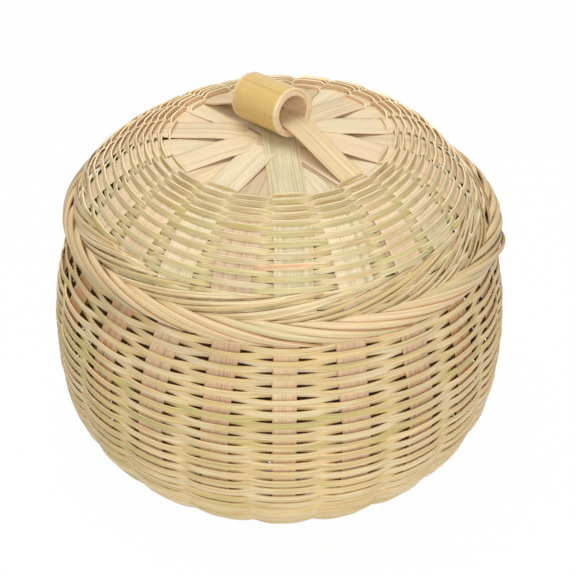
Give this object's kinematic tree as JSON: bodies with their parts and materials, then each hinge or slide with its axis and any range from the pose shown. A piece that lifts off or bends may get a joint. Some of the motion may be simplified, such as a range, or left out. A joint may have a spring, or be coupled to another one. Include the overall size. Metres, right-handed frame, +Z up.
{
  "type": "lidded bamboo basket",
  "caption": "Round woven bamboo basket with a domed lift-off lid, plaited rims and a rolled bamboo grip on a bent strap.",
  "frame": {"origin": "middle of the base, on the plane that the basket stands on", "axes": "+Z up, from the base to the handle; -Y towards the viewer of the picture; +X to their right"},
  "size_m": [0.2968, 0.2976, 0.2524],
  "materials": {
    "body_strip": "planed inner bamboo, satin",
    "lid_strip": "planed inner bamboo, satin",
    "base_weaver": "split bamboo, satin",
    "side_weaver": "split bamboo, satin",
    "lid_weaver": "split bamboo, satin",
    "border_strand": "smooth bamboo skin strands, satin",
    "strap": "bent bamboo strip, satin",
    "roll_skin": "thick bamboo with its glossy skin outside"
  },
  "bodies": {
    "basket_body": {"body_strip_01": "body_strip", "body_strip_02": "body_strip", "body_strip_03": "body_strip", "body_strip_04": "body_strip", "body_strip_05": "body_strip", "body_strip_06": "body_strip", "body_strip_07": "body_strip", "body_strip_08": "body_strip", "body_strip_09": "body_strip", "body_strip_10": "body_strip", "body_strip_11": "body_strip", "base_weave": "base_weaver", "side_weave_foot": "side_weaver", "side_weave_lower": "side_weaver", "side_weave_upper": "side_weaver", "body_border": "border_strand"},
    "lid": {"lid_strip_01": "lid_strip", "lid_strip_02": "lid_strip", "lid_strip_03": "lid_strip", "lid_strip_04": "lid_strip", "lid_strip_05": "lid_strip", "lid_strip_06": "lid_strip", "lid_strip_07": "lid_strip", "lid_strip_08": "lid_strip", "lid_strip_09": "lid_strip", "lid_strip_10": "lid_strip", "lid_strip_11": "lid_strip", "lid_weave": "lid_weaver", "lid_border": "border_strand", "handle_strap": "strap"},
    "roll": {"handle_roll": "roll_skin"}
  },
  "joints": [
    {"name": "lid_lift", "type": "slide", "parent": "basket_body", "child": "lid", "axis": [0, 0, 1], "range_m": [0, 0.2]},
    {"name": "roll_spin", "type": "hinge", "parent": "lid", "child": "roll", "pos_m": [-0.00643, 0.00766, 0.23644], "axis": [0.6403, -0.7631, 0.0872], "continuous": true}
  ]
}
